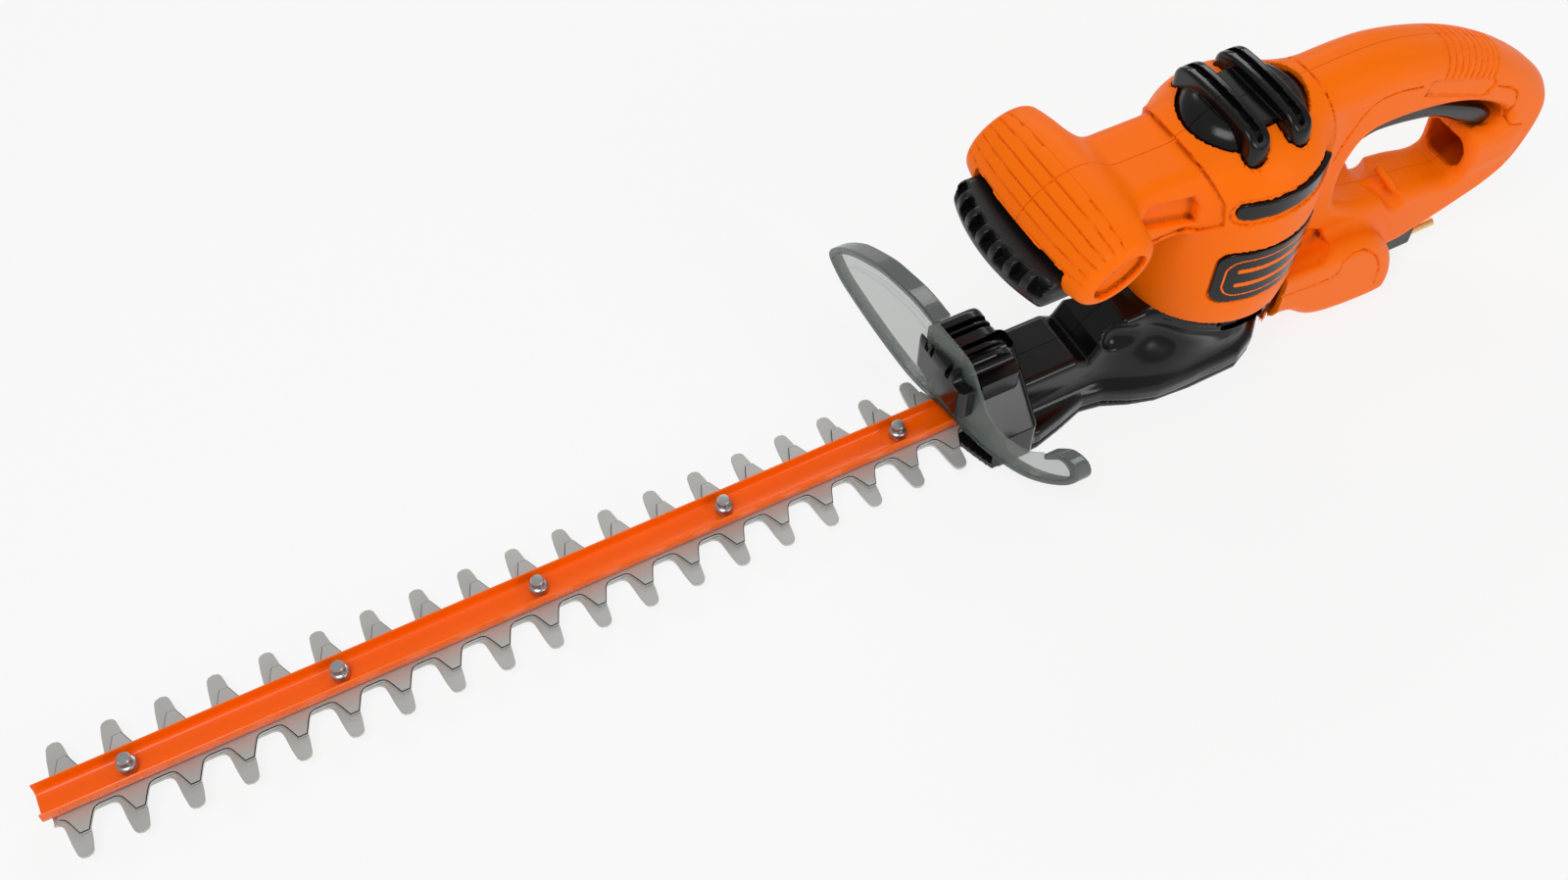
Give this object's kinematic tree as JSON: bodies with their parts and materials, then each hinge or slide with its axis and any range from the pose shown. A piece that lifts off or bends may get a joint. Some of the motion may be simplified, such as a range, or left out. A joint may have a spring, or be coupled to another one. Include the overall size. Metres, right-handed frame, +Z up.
{
  "type": "hedge trimmer",
  "caption": "Corded hedge trimmer with a double-sided reciprocating blade bar, clear hand guard, front T handle and rear D handle.",
  "frame": {"origin": "on the flat sole of the gear housing, straight under the motor shaft", "axes": "-X forward along the blade bar, -Y the operator's left, +Z up"},
  "size_m": [0.8351, 0.1936, 0.1805],
  "materials": {
    "orange_plastic": "fine-textured moulded plastic",
    "channel_paint": "gloss paint on folded steel",
    "black_plastic": "glossy moulded plastic",
    "dark_plastic": "satin moulded plastic",
    "guard_clear": "clear tinted plastic",
    "blade_steel": "ground and brushed",
    "plated_steel": "bright zinc plate",
    "machined_steel": "machined",
    "core_steel": "stacked laminations",
    "brass": "satin",
    "copper": "enamelled wire, lumped as one solid",
    "carbon": "sintered carbon",
    "cream_plastic": "satin",
    "cast_alloy": "as cast"
  },
  "bodies": {
    "tool": {"blade_channel": "channel_paint", "blade_bolt_1": "plated_steel", "blade_bolt_2": "plated_steel", "blade_bolt_3": "plated_steel", "blade_bolt_4": "plated_steel", "blade_bolt_5": "plated_steel", "housing_screw_1": "plated_steel", "housing_screw_2": "plated_steel", "housing_screw_3": "plated_steel", "guard": "guard_clear", "guard_clamp": "black_plastic", "gear_housing_left": "black_plastic", "gear_housing_right": "black_plastic", "vent_cap_left": "black_plastic", "vent_cap_right": "black_plastic", "side_vent_left": "black_plastic", "side_vent_right": "black_plastic", "badge_left": "black_plastic", "badge_right": "black_plastic", "plug_inlet": "black_plastic", "base_plate": "dark_plastic", "front_switch": "dark_plastic", "rear_switch": "dark_plastic", "housing_left": "orange_plastic", "housing_right": "orange_plastic", "lower_bearing": "machined_steel", "upper_bearing": "machined_steel", "trigger_pin": "machined_steel", "stator_core": "core_steel", "field_coil_1": "copper", "field_coil_2": "copper", "prong_1": "brass", "prong_2": "brass", "shaft_bush": "brass", "brush_holder_1": "brass", "brush_holder_2": "brass", "brush_1": "carbon", "brush_2": "carbon", "brush_plate": "cream_plastic", "bearing_bridge": "cream_plastic", "gear_plate": "cast_alloy"},
    "armature": {"motor_shaft": "machined_steel", "armature_core": "core_steel", "armature_winding_lower": "copper", "armature_winding_upper": "copper", "commutator": "copper", "cooling_fan": "dark_plastic", "pinion": "machined_steel"},
    "gear": {"drive_gear": "machined_steel", "gear_shaft": "machined_steel", "lower_eccentric": "machined_steel", "upper_eccentric": "machined_steel"},
    "blade_low": {"lower_blade": "blade_steel"},
    "blade_high": {"upper_blade": "blade_steel"},
    "lever": {"front_lever": "black_plastic"},
    "lever_plunger": {"front_plunger": "cream_plastic", "front_spring": "machined_steel"},
    "trigger": {"rear_trigger": "black_plastic"},
    "trigger_plunger": {"rear_plunger": "cream_plastic", "trigger_spring": "machined_steel"}
  },
  "joints": [
    {"name": "motor_spin", "type": "hinge", "parent": "tool", "child": "armature", "pos_m": [0, 0, 0.1], "axis": [0, 0, 1], "continuous": true},
    {"name": "gear_spin", "type": "hinge", "parent": "tool", "child": "gear", "pos_m": [-0.0315, 0, 0.027], "axis": [0, 0, 1], "continuous": true},
    {"name": "lower_blade_slide", "type": "slide", "parent": "tool", "child": "blade_low", "axis": [1, 0, 0], "range_m": [-0.005, 0.0075]},
    {"name": "upper_blade_slide", "type": "slide", "parent": "tool", "child": "blade_high", "axis": [1, 0, 0], "range_m": [-0.0075, 0.005]},
    {"name": "front_lever_squeeze", "type": "slide", "parent": "tool", "child": "lever", "axis": [0, 0, 1], "range_m": [0, 0.003], "stiffness_N_per_m": 600, "springref_m": -0.003},
    {"name": "front_plunger_slide", "type": "slide", "parent": "tool", "child": "lever_plunger", "axis": [0, 0, 1], "range_m": [0, 0.003], "deforming": ["front_spring"]},
    {"name": "trigger_pull", "type": "hinge", "parent": "tool", "child": "trigger", "pos_m": [0.084, 0, 0.131], "axis": [0, -1, 0], "range_deg": [0, 4], "stiffness_Nm_per_rad": 0.9, "springref_deg": -5.73},
    {"name": "rear_plunger_slide", "type": "slide", "parent": "tool", "child": "trigger_plunger", "axis": [0, 0, 1], "range_m": [0, 0.0033], "deforming": ["trigger_spring"]}
  ],
  "couplings": [
    {"joint": "gear_spin", "follows": "motor_spin", "ratio": -0.16667},
    {"joint": "upper_blade_slide", "follows": "lower_blade_slide", "ratio": -1},
    {"joint": "front_plunger_slide", "follows": "front_lever_squeeze", "ratio": 1},
    {"joint": "rear_plunger_slide", "follows": "trigger_pull", "m_per_rad": 0.046}
  ]
}
